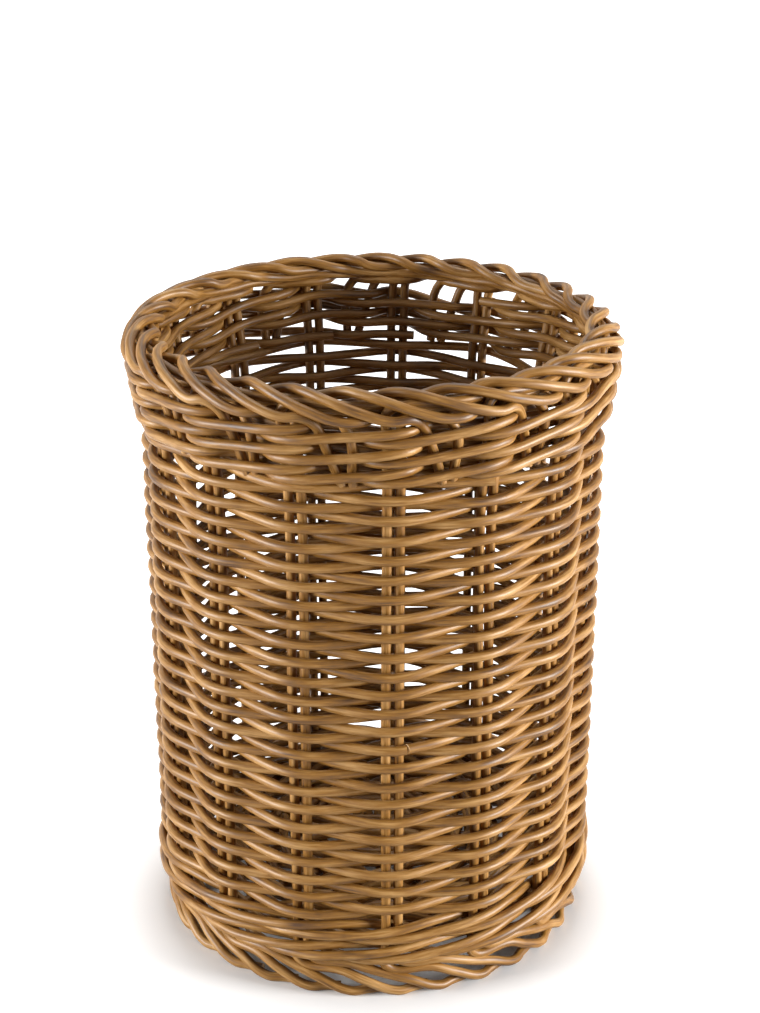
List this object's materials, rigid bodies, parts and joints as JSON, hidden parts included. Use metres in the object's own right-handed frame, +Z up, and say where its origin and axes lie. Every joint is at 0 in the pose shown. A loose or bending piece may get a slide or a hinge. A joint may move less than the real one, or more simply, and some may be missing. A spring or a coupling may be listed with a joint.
{
  "type": "cutlery basket",
  "caption": "Round woven cane basket for holding cutlery upright, with a plaited rope border, a three-rod collar and a swept open foot.",
  "frame": {"origin": "centre of the foot, on the surface the basket stands on", "axes": "+Z up along the basket's axis, -Y towards the front"},
  "size_m": [0.1246, 0.1246, 0.1636],
  "materials": {
    "stake_cane": "satin round synthetic cane with fine lengthwise streaks",
    "weaver_cane": "satin round synthetic cane with fine lengthwise streaks",
    "wale_cane": "satin round synthetic cane with fine lengthwise streaks",
    "collar_cane": "satin round synthetic cane with fine lengthwise streaks",
    "base_cane": "satin round synthetic cane with fine lengthwise streaks"
  },
  "bodies": {
    "root": {"stake_pair_01": "stake_cane", "stake_pair_02": "stake_cane", "stake_pair_03": "stake_cane", "stake_pair_04": "stake_cane", "stake_pair_05": "stake_cane", "stake_pair_06": "stake_cane", "stake_pair_07": "stake_cane", "stake_pair_08": "stake_cane", "stake_pair_09": "stake_cane", "stake_pair_10": "stake_cane", "stake_pair_11": "stake_cane", "stake_pair_12": "stake_cane", "stake_pair_13": "stake_cane", "stake_pair_14": "stake_cane", "stake_pair_15": "stake_cane", "wall_weaver_1": "weaver_cane", "wall_weaver_2": "weaver_cane", "wall_weaver_3": "weaver_cane", "wall_weaver_4": "weaver_cane", "wale_rod_1": "wale_cane", "wale_rod_2": "wale_cane", "wale_rod_3": "wale_cane", "collar_rod_1": "collar_cane", "collar_rod_2": "collar_cane", "collar_rod_3": "collar_cane", "base_long_stick_1": "base_cane", "base_long_stick_2": "base_cane", "base_long_stick_3": "base_cane", "base_long_stick_4": "base_cane", "base_cross_stick_1": "base_cane", "base_cross_stick_2": "base_cane", "base_cross_stick_3": "base_cane", "base_cross_stick_4": "base_cane", "base_weaver": "base_cane"}
  },
  "joints": []
}
